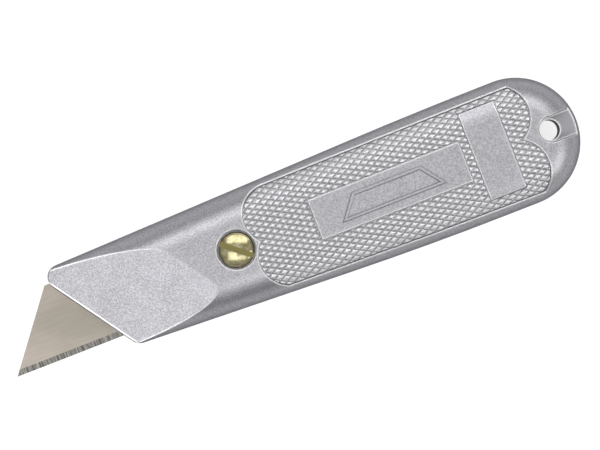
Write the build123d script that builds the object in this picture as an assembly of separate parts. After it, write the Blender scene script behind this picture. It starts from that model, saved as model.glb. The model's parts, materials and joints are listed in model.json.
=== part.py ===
"""Fixed-blade utility knife: two die-cast zinc half shells held by one brass screw.

The halves are drawn about the screw: X runs from the nose to the tail, Y from the cutting
edge to the spine, and Z = 0 is the parting plane.  Every piece is then moved so that the
origin is at the bottom centre of the whole knife, lying on its rear shell.
"""

from build123d import *
import os
from math import cos, radians, sin, tan

# ---- outline of the body, seen from the front (mm) ----
HALF_THICKNESS = 9.25  # parting plane to the flat of one side
SHOULDER_RADIUS = 8.5  # roll from the flat of a side down to its edge
TAIL_CENTRE = (75.1, -0.33)
TAIL_RADIUS = 16.28
BACK_TAPER, BELLY_TAPER = 1.75, 2.5  # degrees that the long edges close in towards the nose
BACK_BEND, BELLY_BEND = 1300.0, 940.0  # radii that turn those tapers into the tail
BELLY_BEND_END = 66.0  # X where the belly has become level
BAR_END = -80.0  # X to which the bar runs before the nose is cut from it

# ---- nose ----
NOSE_EDGE = (-46.27, 7.7)  # a point on the slanted nose edge
NOSE_SLANT = 34.7  # degrees between the nose edge and square across
NOSE_BACK_RADIUS, NOSE_BELLY_RADIUS = 3.2, 3.4
NOSE_HALF_THICKNESS = 3.3
FACET_RUN = 23.7  # from the nose edge to where the facet meets the flat of the side

# ---- casting ----
WALL = 1.6
PARTING_CHAMFER = 0.2
NOSE_ROUND, RIM_ROUND, CHANNEL_ROUND, COUNTERBORE_ROUND = 0.5, 0.3, 0.4, 0.35

# ---- grip panel ----
PANEL_DEPTH = 0.55
PANEL_BACK = ((12.0, 12.65), (77.4, 13.15))  # the panel's long edge by the spine
PANEL_BELLY = ((9.2, -12.95), (50.0, -14.05), (77.2, -14.3))
PANEL_FRONT_LOBES = ((4.9, 8.2), (6.6, -0.2), (4.4, -7.2))  # bulge, cusp, bulge
PANEL_REAR_LOBES = ((80.5, 6.8), (76.2, -0.4), (80.5, -7.5))
PANEL_CORNER, PLATE_CORNER = 0.5, 0.6
LABEL_PLATE = ((20.8, -5.65), (61.4, 5.15))
TAIL_PLATE = ((63.5, -11.7), (73.2, 11.4))

# ---- hanging hole and the channel from it to the tail ----
TAIL_HOLE = (83.9, -0.5)
TAIL_HOLE_RADIUS = 2.6
CHANNEL_X, CHANNEL_RADIUS = 84.2, 3.2
CHANNEL_FLOOR = 4.5  # height from the parting plane
TAIL_BLOCK_RADIUS = 5.2

# ---- blades: the common trapezoid size ----
BLADE_LENGTH, BLADE_WIDTH, BLADE_THICKNESS = 61.0, 19.0, 0.65
BLADE_END_RUN = 14.7  # how far each end slants over the blade's width
BLADE_BEVEL, BLADE_EDGE_THICKNESS = 1.5, 0.06
NOTCH_SPACING, NOTCH_WIDTH, NOTCH_DEPTH = 8.0, 3.2, 2.8
WORKING_TIP = (-63.2, -9.8)
SPARE_TIP = (9.4, -9.8)
SPARE_COUNT = 5
SPARE_GAP = 0.06
SPARE_TOP = -0.3  # top of the spare stack

# ---- blade seat in the nose, and the lugs that hold the blade by its notches ----
SEAT_CLEARANCE, SEAT_DEPTH = 0.15, 0.7
LUG_RISE, LUG_GAP, LUG_ROOT = 1.0, 0.2, 0.3
SEAT_BORDER = 3.0  # land left round the cored pocket under the blade
NOSE_CORE_START = 9.0  # the cored pocket starts this far behind the nose edge
SEAT_WALL = 2.0  # wall behind the blade
SEAT_RIB_X = -22.0

# ---- screw and its bosses ----
SCREW_RADIUS, SCREW_REACH = 2.5, 6.6  # reach is the shank's length below the parting plane
SCREW_TIP_CHAMFER = 0.6
HEAD_RADIUS, HEAD_SIDE, HEAD_DOME = 4.45, 1.5, 1.3
HEAD_PROUD = 0.1  # how far the crown of the dome stands above the flat of the side
HEAD_SEAT = HALF_THICKNESS + HEAD_PROUD - HEAD_SIDE - HEAD_DOME  # height of the seat under the head
SLOT_WIDTH, SLOT_DEPTH, SLOT_ANGLE = 1.35, 1.4, -40.0
SHANK_HOLE_RADIUS, TAPPED_HOLE_RADIUS = 2.75, 2.56
TAPPED_HOLE_DEPTH = 7.2
COUNTERBORE_RADIUS = 4.85
FRONT_BOSS_RADIUS, REAR_BOSS_RADIUS = 6.4, 4.8

# ---- inside the handle ----
RIB = 1.4
CROSS_RIBS_X = (20.0, 40.0, 60.0)
FRONT_RIB_REACH = 0.15  # height of the front ribs' edges above the parting plane
RAIL_GAP, RAIL_TOP = 0.35, -0.9
STOP_GAP, STOP_TALL = 0.5, 6.0
PEG_SPOTS = ((76.0, 10.6), (76.0, -11.3))
PEG_RADIUS, PEG_RISE, PEG_BOSS_RADIUS = 1.2, 2.0, 2.4
PEG_CLEARANCE, PEG_END_GAP = 0.1, 0.3
LIP_GAP, LIP_THICKNESS, LIP_DROP, LIP_ROOT = 0.15, 0.9, 1.0, 2.5
LIP_X = (12.0, 70.0)

# ---- working sizes ----
BIG = 300.0  # larger than the knife every way
OVER = 1.0  # how far a cut runs past the face that it opens
OVERLAP = 0.1  # how far shapes that are joined run into each other
SKIN_DEPTH, ON_LINE = 0.1, 0.01  # how near an edge is to the skin, and to a plan's line, to be a rim
INWARD = Vector(cos(radians(NOSE_SLANT)), sin(radians(NOSE_SLANT)))  # square to the nose edge
FACET_SLOPE = (HALF_THICKNESS - NOSE_HALF_THICKNESS) / FACET_RUN
FACET_NORMAL = Vector(-FACET_SLOPE * INWARD.X, -FACET_SLOPE * INWARD.Y, 1).normalized()
ABOVE = (Align.CENTER, Align.CENTER, Align.MIN)
BELOW = (Align.CENTER, Align.CENTER, Align.MAX)


def beyond(point, direction):
    """Everything on the side of a point to which a direction in the XY plane points."""
    side = Plane(origin=point, x_dir=direction, z_dir=(0, 0, 1))
    return side * Box(BIG, BIG, BIG, align=(Align.MIN, Align.CENTER, Align.CENTER))


def block(x_range, y_range, z_range):
    """A box between three pairs of limits."""
    low = Vector(x_range[0], y_range[0], z_range[0])
    high = Vector(x_range[1], y_range[1], z_range[1])
    size = high - low
    return Pos(low) * Box(size.X, size.Y, size.Z, align=Align.MIN)


def post(spot, radius, z_range):
    """A round post or hole between two heights."""
    low, high = z_range
    return Pos(spot[0], spot[1], low) * Cylinder(radius, high - low, align=ABOVE)


# ---------------------------------------------------------------- outer form of one half


def bar_outline(inset=0.0):
    """The body's outline with its nose run out straight, drawn smaller by inset."""
    cx, cy = TAIL_CENTRE
    back = CenterArc((cx, cy + TAIL_RADIUS - BACK_BEND), BACK_BEND - inset, 90, BACK_TAPER)
    belly_centre = (BELLY_BEND_END, cy - TAIL_RADIUS + BELLY_BEND)
    belly = CenterArc(belly_centre, BELLY_BEND - inset, -90, -BELLY_TAPER)
    back_start, belly_start = back @ 1, belly @ 1
    back_fall = (back_start.X - BAR_END) * tan(radians(BACK_TAPER))
    belly_rise = (belly_start.X - BAR_END) * tan(radians(BELLY_TAPER))
    back_end = Vector(BAR_END, back_start.Y - back_fall)
    belly_end = Vector(BAR_END, belly_start.Y + belly_rise)
    tail = CenterArc((cx, cy), TAIL_RADIUS - inset, -90, 180)
    edges = [tail, back, Line(back_start, back_end), Line(back_end, belly_end)]
    edges += [Line(belly_end, belly_start), belly, Line(belly @ 0, tail @ 0)]
    return make_face(edges)


def body_outline(inset=0.0):
    """The body's true outline: the bar with its slanted, round-cornered nose."""
    edge = Vector(NOSE_EDGE) + INWARD * inset
    cut = Plane(origin=edge, x_dir=-INWARD, z_dir=(0, 0, -1)) * Rectangle(
        BIG, BIG, align=(Align.MIN, Align.CENTER)
    )
    outline = bar_outline(inset) - cut
    back_corner, belly_corner = outline.vertices().sort_by(Axis.X)[:2]
    outline = fillet(back_corner, NOSE_BACK_RADIUS - inset)
    belly_corner = outline.vertices().sort_by_distance(Vertex(*belly_corner))[0]
    return fillet(belly_corner, NOSE_BELLY_RADIUS - inset)


def facet_cut(inset=0.0):
    """The space above the flat facet that thins the nose."""
    origin = Vector(NOSE_EDGE[0], NOSE_EDGE[1], NOSE_HALF_THICKNESS) - FACET_NORMAL * inset
    return Plane(origin=origin, z_dir=FACET_NORMAL) * Box(BIG, BIG, BIG, align=ABOVE)


def half_hull(inset=0.0):
    """The outer form of one half above the parting plane, or one drawn inset inside it."""
    bar = extrude(bar_outline(inset), HALF_THICKNESS - inset)
    top_edges = bar.edges().group_by(Axis.Z)[-1].sort_by(Axis.X)[1:]
    bar = fillet(top_edges, SHOULDER_RADIUS - inset)
    return (bar & extrude(body_outline(inset), HALF_THICKNESS)) - facet_cut(inset)


def nose_edges(hull):
    """The edge of the facet that runs along the nose and round its two corners."""
    flat_faces = hull.faces().filter_by(GeomType.PLANE)
    facet = max(flat_faces, key=lambda face: face.normal_at().dot(FACET_NORMAL))
    return facet.edges().sort_by(lambda edge: (edge @ 0.5).dot(INWARD))[:3]


def rims(shape, plan):
    """A shape's edges that lie on its outer skin over the lines of a plan."""
    skin = half_hull(SKIN_DEPTH)
    found = []
    for edge in shape.edges():
        middle = edge @ 0.5
        spot = Vertex(middle.X, middle.Y, 0)
        nearest = plan.edges().sort_by_distance(spot)[0]
        if nearest.distance_to(spot) < ON_LINE and not skin.is_inside(middle):
            found.append(edge)
    return found


# ---------------------------------------------------------------- grip panel and tail


def panel_outline():
    """Outline of the grip panel: long edges, and two lobes at each end."""
    front_back, front_cusp, front_belly = PANEL_FRONT_LOBES
    rear_back, rear_cusp, rear_belly = PANEL_REAR_LOBES
    edges = [
        Line(*PANEL_BACK),
        ThreePointArc(PANEL_BACK[1], rear_back, rear_cusp),
        ThreePointArc(rear_cusp, rear_belly, PANEL_BELLY[2]),
        Line(PANEL_BELLY[2], PANEL_BELLY[1]),
        Line(PANEL_BELLY[1], PANEL_BELLY[0]),
        ThreePointArc(PANEL_BELLY[0], front_belly, front_cusp),
        ThreePointArc(front_cusp, front_back, PANEL_BACK[0]),
    ]
    outline = make_face(edges)
    return fillet(outline.vertices(), PANEL_CORNER)


def plate_outline(corners):
    """A smooth rectangle left standing in the grip panel."""
    (x0, y0), (x1, y1) = corners
    return Pos((x0 + x1) / 2, (y0 + y1) / 2) * RectangleRounded(x1 - x0, y1 - y0, PLATE_CORNER)


def cut_grip_panel(hull):
    """Sink the grip panel by its depth all over the curved side, and round its rims."""
    plan = panel_outline() - plate_outline(LABEL_PLATE) - plate_outline(TAIL_PLATE)
    cut = hull - ((hull - half_hull(PANEL_DEPTH)) & extrude(plan, HALF_THICKNESS))
    return fillet(rims(cut, plan), RIM_ROUND)


def cut_channel(hull):
    """Cut the channel that leads from the hanging hole out over the tail, and its hole."""
    run = Rectangle(BIG, 2 * CHANNEL_RADIUS, align=(Align.MIN, Align.CENTER))
    plan = Pos(CHANNEL_X, TAIL_HOLE[1]) * (Circle(CHANNEL_RADIUS) + run)
    cut = hull - extrude(Pos(0, 0, CHANNEL_FLOOR) * plan, HALF_THICKNESS)
    rounded = fillet(rims(cut, plan), CHANNEL_ROUND)
    return rounded - post(TAIL_HOLE, TAIL_HOLE_RADIUS, (-OVER, HALF_THICKNESS))


# ---------------------------------------------------------------- inside of one half


def blade_outline(tip, notches=True):
    """A trapezoid blade with its long cutting edge along the belly side."""
    x, y = tip
    top = y + BLADE_WIDTH
    points = [(x, y), (x + BLADE_LENGTH, y)]
    points += [(x + BLADE_LENGTH - BLADE_END_RUN, top), (x + BLADE_END_RUN, top)]
    outline = make_face(Polyline(*points, close=True))
    if notches:
        outline -= notch_outlines(tip)
    return outline


def notch_outlines(tip, shrink=0.0):
    """The two round-bottomed notches in a blade's spine, drawn smaller by shrink."""
    radius = NOTCH_WIDTH / 2 - shrink
    height = NOTCH_DEPTH - NOTCH_WIDTH / 2
    notch = Circle(radius) + Rectangle(2 * radius, height, align=(Align.CENTER, Align.MIN))
    bottom_centre = tip[1] + BLADE_WIDTH - height
    return Sketch() + [Pos(x, bottom_centre) * notch for x in notch_centres(tip)]


def notch_centres(tip):
    """X of the two notches in a blade's spine."""
    middle = tip[0] + BLADE_LENGTH / 2
    return (middle - NOTCH_SPACING / 2, middle + NOTCH_SPACING / 2)


def behind_blade(gap):
    """Everything behind the working blade's rear edge, from a gap further back."""
    heel = Vector(WORKING_TIP[0] + BLADE_LENGTH, WORKING_TIP[1])
    square = Vector(BLADE_WIDTH, BLADE_END_RUN).normalized()
    return beyond(heel + square * gap, square)


def tail_block():
    """The solid zinc round the hanging hole."""
    y = TAIL_HOLE[1]
    edges = (y - TAIL_BLOCK_RADIUS, y + TAIL_BLOCK_RADIUS)
    run = block((CHANNEL_X, BIG), edges, (-OVER, HALF_THICKNESS))
    return run + post((CHANNEL_X, y), TAIL_BLOCK_RADIUS, (-OVER, HALF_THICKNESS))


def nose_core(inside):
    """The pocket cored out under the working blade, crossed by a rib that carries it."""
    under = offset(blade_outline(WORKING_TIP, notches=False), -SEAT_BORDER)
    start = Vector(NOSE_EDGE) + INWARD * NOSE_CORE_START
    core = inside & extrude(under, HALF_THICKNESS) & beyond(start, INWARD)
    rib = (SEAT_RIB_X - RIB / 2, SEAT_RIB_X + RIB / 2)
    return core - block(rib, (-BIG, BIG), (-OVER, HALF_THICKNESS))


def half_shell():
    """What the two halves share: hull, grip panel, hanging hole, channel and cavities."""
    hull = half_hull()
    shell = cut_channel(cut_grip_panel(hull))
    shell = fillet(nose_edges(shell), NOSE_ROUND)
    shell = chamfer(shell.edges().group_by(Axis.Z)[0], PARTING_CHAMFER)
    inside = half_hull(WALL)
    shell -= (inside & behind_blade(SEAT_CLEARANCE + SEAT_WALL)) - tail_block()
    return shell - nose_core(inside)


def cross_ribs(inside, reach):
    """Ribs across the handle, from its side wall to a reach from the parting plane."""
    ribs = Part()
    for x in CROSS_RIBS_X:
        ribs += block((x - RIB / 2, x + RIB / 2), (-BIG, BIG), (reach, HALF_THICKNESS))
    return ribs & inside


# ---------------------------------------------------------------- the pieces


def front_shell():
    """The half that carries the screw's head."""
    core = half_hull(WALL / 2)
    shell = half_shell()
    shell += core & post((0, 0), FRONT_BOSS_RADIUS, (0, HALF_THICKNESS))
    shell += cross_ribs(core, FRONT_RIB_REACH)
    for spot in PEG_SPOTS:
        shell += core & post(spot, PEG_BOSS_RADIUS, (0, HALF_THICKNESS))
        shell -= post(spot, PEG_RADIUS + PEG_CLEARANCE, (-OVER, PEG_RISE + PEG_END_GAP))
    shell += locating_lip()
    shell -= counterbore()
    shell -= post((0, 0), SHANK_HOLE_RADIUS, (-OVER, HEAD_SEAT + OVER))
    pockets = offset(notch_outlines(WORKING_TIP, LUG_GAP), LUG_GAP)
    return shell - extrude(Pos(0, 0, -OVER) * pockets, OVER + LUG_RISE + LUG_GAP)


def counterbore():
    """The well that the screw's head lies in, opening out at its mouth in a round."""
    mouth_radius = COUNTERBORE_RADIUS + COUNTERBORE_ROUND
    section = [
        Line((0, HEAD_SEAT), (COUNTERBORE_RADIUS, HEAD_SEAT)),
        Line((COUNTERBORE_RADIUS, HEAD_SEAT), (COUNTERBORE_RADIUS, HALF_THICKNESS - COUNTERBORE_ROUND)),
        RadiusArc(
            (COUNTERBORE_RADIUS, HALF_THICKNESS - COUNTERBORE_ROUND),
            (mouth_radius, HALF_THICKNESS),
            COUNTERBORE_ROUND,
        ),
        Line((mouth_radius, HALF_THICKNESS), (mouth_radius, HALF_THICKNESS + OVER)),
        Line((mouth_radius, HALF_THICKNESS + OVER), (0, HALF_THICKNESS + OVER)),
        Line((0, HALF_THICKNESS + OVER), (0, HEAD_SEAT)),
    ]
    return revolve(Plane.XZ * make_face(section), Axis.Z)


def locating_lip():
    """Lips along the front shell's long walls that drop inside the rear shell's."""
    inner = bar_outline(WALL + LIP_GAP + LIP_THICKNESS)
    root = extrude(bar_outline(WALL - OVERLAP) - inner, LIP_ROOT)
    lip = extrude(Pos(0, 0, -LIP_DROP) * (bar_outline(WALL + LIP_GAP) - inner), LIP_DROP + OVERLAP)
    return (root + lip) & block(LIP_X, (-BIG, BIG), (-LIP_DROP, LIP_ROOT))


def blade_seat():
    """The shallow seat for the working blade, open at the nose edge."""
    seat = offset(blade_outline(WORKING_TIP, notches=False), SEAT_CLEARANCE, kind=Kind.INTERSECTION)
    return extrude(Pos(0, 0, -SEAT_DEPTH) * seat, SEAT_DEPTH + OVER)


def blade_rails():
    """Rails beside the spare blades, and stops by the two ends of their edges."""
    x, y = SPARE_TIP
    floor = -HALF_THICKNESS
    low, high = y - RAIL_GAP, y + BLADE_WIDTH + RAIL_GAP
    front, rear = x - STOP_GAP, x + BLADE_LENGTH + STOP_GAP
    rails = block((front, rear), (low - RIB, low), (floor, RAIL_TOP))
    rails += block((x + BLADE_END_RUN, rear - BLADE_END_RUN), (high, high + RIB), (floor, RAIL_TOP))
    for start in (front - RIB, rear):
        rails += block((start, start + RIB), (low - RIB, low + STOP_TALL), (floor, RAIL_TOP))
    return rails


def spare_height(number):
    """Height of the middle of a spare blade, counted from the bottom of the stack."""
    pitch = BLADE_THICKNESS + SPARE_GAP
    return SPARE_TOP - BLADE_THICKNESS / 2 - (SPARE_COUNT - 1 - number) * pitch


def rear_shell():
    """The half that seats the blade, takes the screw's thread and stores the spares."""
    shell = mirror(half_shell(), about=Plane.XY)
    core = mirror(half_hull(WALL / 2), about=Plane.XY)
    shell += core & post((0, 0), REAR_BOSS_RADIUS, (-HALF_THICKNESS, 0))
    stack_bottom = spare_height(0) - BLADE_THICKNESS / 2 - SPARE_GAP
    shell += mirror(cross_ribs(half_hull(WALL / 2), -stack_bottom), about=Plane.XY)
    shell += core & blade_rails()
    for spot in PEG_SPOTS:
        shell += core & post(spot, PEG_BOSS_RADIUS, (-HALF_THICKNESS, 0))
        shell += post(spot, PEG_RADIUS, (-OVER, PEG_RISE))
    shell -= blade_seat()
    lugs = Pos(0, 0, -SEAT_DEPTH - LUG_ROOT) * notch_outlines(WORKING_TIP, LUG_GAP)
    shell += extrude(lugs, LUG_ROOT + SEAT_DEPTH + LUG_RISE)
    return shell - post((0, 0), TAPPED_HOLE_RADIUS, (-TAPPED_HOLE_DEPTH, OVER))


def clamp_screw():
    """The slotted brass screw, its thread drawn as a plain shank of the thread's size."""
    shank_length = HEAD_SEAT + SCREW_REACH
    shank = Pos(0, 0, HEAD_SEAT) * Cylinder(SCREW_RADIUS, shank_length, align=BELOW)
    shank = chamfer(shank.edges().sort_by(Axis.Z)[0], SCREW_TIP_CHAMFER)
    ball = (HEAD_RADIUS**2 + HEAD_DOME**2) / (2 * HEAD_DOME)
    top = HEAD_SEAT + HEAD_SIDE + HEAD_DOME
    head = post((0, 0), HEAD_RADIUS, (HEAD_SEAT, top)) & (Pos(0, 0, top - ball) * Sphere(ball))
    slot = Pos(0, 0, top) * Rot(0, 0, SLOT_ANGLE) * Box(BIG, SLOT_WIDTH, 2 * SLOT_DEPTH)
    return shank + (head - slot)


def blade(tip, height):
    """One trapezoid blade, ground from both sides along its cutting edge."""
    half, edge = BLADE_THICKNESS / 2, BLADE_EDGE_THICKNESS / 2
    plate = extrude(blade_outline(tip), half, both=True)
    y0, y1 = tip[1], tip[1] + BLADE_WIDTH
    section = [(y0, edge), (y0 + BLADE_BEVEL, half), (y1, half)]
    section += [(y, -z) for y, z in reversed(section)]
    wedge = Plane.YZ * make_face(Polyline(*section, close=True))
    return Pos(0, 0, height) * (plate & extrude(wedge, BIG, both=True))


def all_pieces():
    """Every piece by its name, drawn about the screw."""
    pieces = {
        "front_shell": front_shell(),
        "rear_shell": rear_shell(),
        "clamp_screw": clamp_screw(),
        "working_blade": blade(WORKING_TIP, -SEAT_DEPTH / 2),
    }
    for number in range(SPARE_COUNT):
        pieces[f"spare_blade_{number + 1}"] = blade(SPARE_TIP, spare_height(number))
    return pieces


pieces = all_pieces()
boxes = [piece.bounding_box() for piece in pieces.values()]
low = Vector(min(box.min.X for box in boxes), min(box.min.Y for box in boxes))
high = Vector(max(box.max.X for box in boxes), max(box.max.Y for box in boxes))
to_bottom_centre = Vector(-(low.X + high.X) / 2, -(low.Y + high.Y) / 2, HALF_THICKNESS)

os.makedirs("parts", exist_ok=True)
for name, piece in pieces.items():
    export_step(Pos(to_bottom_centre) * piece, f"parts/{name}.step")
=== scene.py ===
"""Looks of a fixed-blade utility knife: two cast zinc half shells, a brass screw, steel blades.

Lengths in the classes below are millimetres drawn about the clamp screw: X runs from the
nose to the tail, Y from the cutting edge to the spine, and Z = 0 is the parting plane.
Datum turns them into the frame's own coordinates.
"""

import json
import logging
import math
from collections.abc import Callable, Iterable
from dataclasses import dataclass, field, replace
from enum import Enum

import bmesh
import bpy
from mathutils import Matrix, Vector


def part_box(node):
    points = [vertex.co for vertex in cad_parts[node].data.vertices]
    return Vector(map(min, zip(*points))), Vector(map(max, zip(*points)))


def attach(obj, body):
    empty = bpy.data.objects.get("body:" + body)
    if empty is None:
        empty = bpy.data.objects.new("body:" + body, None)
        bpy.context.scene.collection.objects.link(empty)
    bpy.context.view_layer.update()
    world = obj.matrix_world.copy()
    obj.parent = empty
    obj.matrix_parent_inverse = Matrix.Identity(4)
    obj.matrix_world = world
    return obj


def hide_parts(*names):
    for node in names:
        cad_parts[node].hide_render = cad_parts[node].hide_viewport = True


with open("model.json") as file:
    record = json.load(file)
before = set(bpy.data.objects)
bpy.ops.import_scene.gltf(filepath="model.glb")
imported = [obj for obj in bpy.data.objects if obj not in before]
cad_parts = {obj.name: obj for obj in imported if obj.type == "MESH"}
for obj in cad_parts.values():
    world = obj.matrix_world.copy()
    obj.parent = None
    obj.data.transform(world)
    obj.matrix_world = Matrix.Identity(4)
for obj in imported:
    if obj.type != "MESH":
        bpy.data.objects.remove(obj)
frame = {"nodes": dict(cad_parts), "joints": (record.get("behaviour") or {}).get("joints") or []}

LOG = logging.getLogger("utility_knife")
MM = 0.001
Plan = tuple[float, float]


class Side(Enum):
    """The two halves of the handle, by the way that each one faces."""

    FRONT = 1
    REAR = -1


class Slot(Enum):
    """Names of two of the record's material slots; nothing in the script uses them."""

    ZINC = "cast_zinc"
    BRASS = "brass"


# ------------------------------------------------------------------ frame and colour


@dataclass(frozen=True)
class Datum:
    """The screw's axis on the parting plane, which every size below is measured from."""

    origin: Vector

    @classmethod
    def from_frame(cls) -> "Datum":
        """Read the point from the joint that the screw turns about."""
        turn = next(joint for joint in frame["joints"] if joint["name"] == "screw_turn")
        return cls(Vector(turn["pos_m"]))

    def at(self, x: float, y: float, z: float) -> Vector:
        """Place a point given in millimetres about the screw."""
        return self.origin + Vector((x, y, z)) * MM


def linear(hex_colour: str) -> tuple[float, float, float, float]:
    """Turn an sRGB hex colour into linear light.

    Args:
        hex_colour: six hex digits, such as "B0B0B4".

    Returns:
        Linear red, green and blue, with an alpha of 1.
    """
    channels = [int(hex_colour[i : i + 2], 16) / 255 for i in (0, 2, 4)]
    curve = [c / 12.92 if c <= 0.04045 else ((c + 0.055) / 1.055) ** 2.4 for c in channels]
    return (*curve, 1.0)


# ------------------------------------------------------------------ materials


def add_node(
    tree: bpy.types.NodeTree, kind: str, settings: dict, **links: bpy.types.NodeSocket
) -> bpy.types.Node:
    """Add a shader node with its settings and its incoming links.

    Args:
        tree: the node tree to add to.
        kind: the node's Blender type.
        settings: attribute values by name, and socket values by socket name or number.
        **links: sockets to link from, by input name with spaces as underscores, or i0, i1...

    Returns:
        The new node.
    """
    node = tree.nodes.new(kind)
    for key, value in settings.items():
        if isinstance(key, str) and hasattr(node, key):
            setattr(node, key, value)
        else:
            node.inputs[key].default_value = value
    for name, source in links.items():
        numbered = name[0] == "i" and name[1:].isdigit()
        target = node.inputs[int(name[1:])] if numbered else node.inputs[name.replace("_", " ")]
        tree.links.new(source, target)
    return node


def spread(
    tree: bpy.types.NodeTree,
    value: bpy.types.NodeSocket,
    source: Plan = (0.0, 1.0),
    target: Plan = (0.0, 1.0),
    curve: str = "LINEAR",
) -> bpy.types.NodeSocket:
    """Map one range of values onto another, held at both ends.

    Args:
        tree: the node tree to add to.
        value: the socket to map.
        source: the two values that it starts and ends at.
        target: what they become.
        curve: Blender's name for the way between them.

    Returns:
        The mapped socket.
    """
    ends = {"From Min": source[0], "From Max": source[1], "To Min": target[0], "To Max": target[1]}
    settings = {**ends, "interpolation_type": curve}
    return add_node(tree, "ShaderNodeMapRange", settings, Value=value).outputs[0]


@dataclass(frozen=True)
class Finish:
    """A surface finish: what the material is, and how its surface was made."""

    name: str
    colour: str
    metallic: float
    roughness: float

    def material(self) -> bpy.types.Material:
        """Make the node material.

        Returns:
            The material, named for the finish.
        """
        material = bpy.data.materials.new(self.name)
        material.use_nodes = True
        tree = material.node_tree
        tree.nodes.clear()
        output = add_node(tree, "ShaderNodeOutputMaterial", {})
        shader = add_node(
            tree,
            "ShaderNodeBsdfPrincipled",
            {"Base Color": linear(self.colour), "Metallic": self.metallic, "Roughness": self.roughness},
        )
        tree.links.new(shader.outputs[0], output.inputs["Surface"])
        self.detail(tree, shader)
        return material

    def detail(self, tree: bpy.types.NodeTree, shader: bpy.types.Node) -> None:
        """Add the finish's own texture nodes to the shader."""


@dataclass(frozen=True)
class NoseFacet:
    """The flat that thins each side of the nose down to its slanted edge."""

    edge: Plan = (-46.27, 7.7)
    slant: float = 34.7
    edge_height: float = 3.3
    side_height: float = 9.25
    run: float = 23.7

    def point(self, datum: Datum) -> Vector:
        """Give a point of the front half's flat, in the frame."""
        return datum.at(*self.edge, self.edge_height)

    def behind(self) -> Vector:
        """Give the way from the slanted nose edge straight back, square to it."""
        slant = math.radians(self.slant)
        return Vector((math.cos(slant), math.sin(slant), 0))

    def normal(self) -> Vector:
        """Work out the way that the front half's flat faces.

        Returns:
            A unit vector.
        """
        slope = (self.side_height - self.edge_height) / self.run
        slant = math.radians(self.slant)
        return Vector((-slope * math.cos(slant), -slope * math.sin(slant), 1)).normalized()


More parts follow.
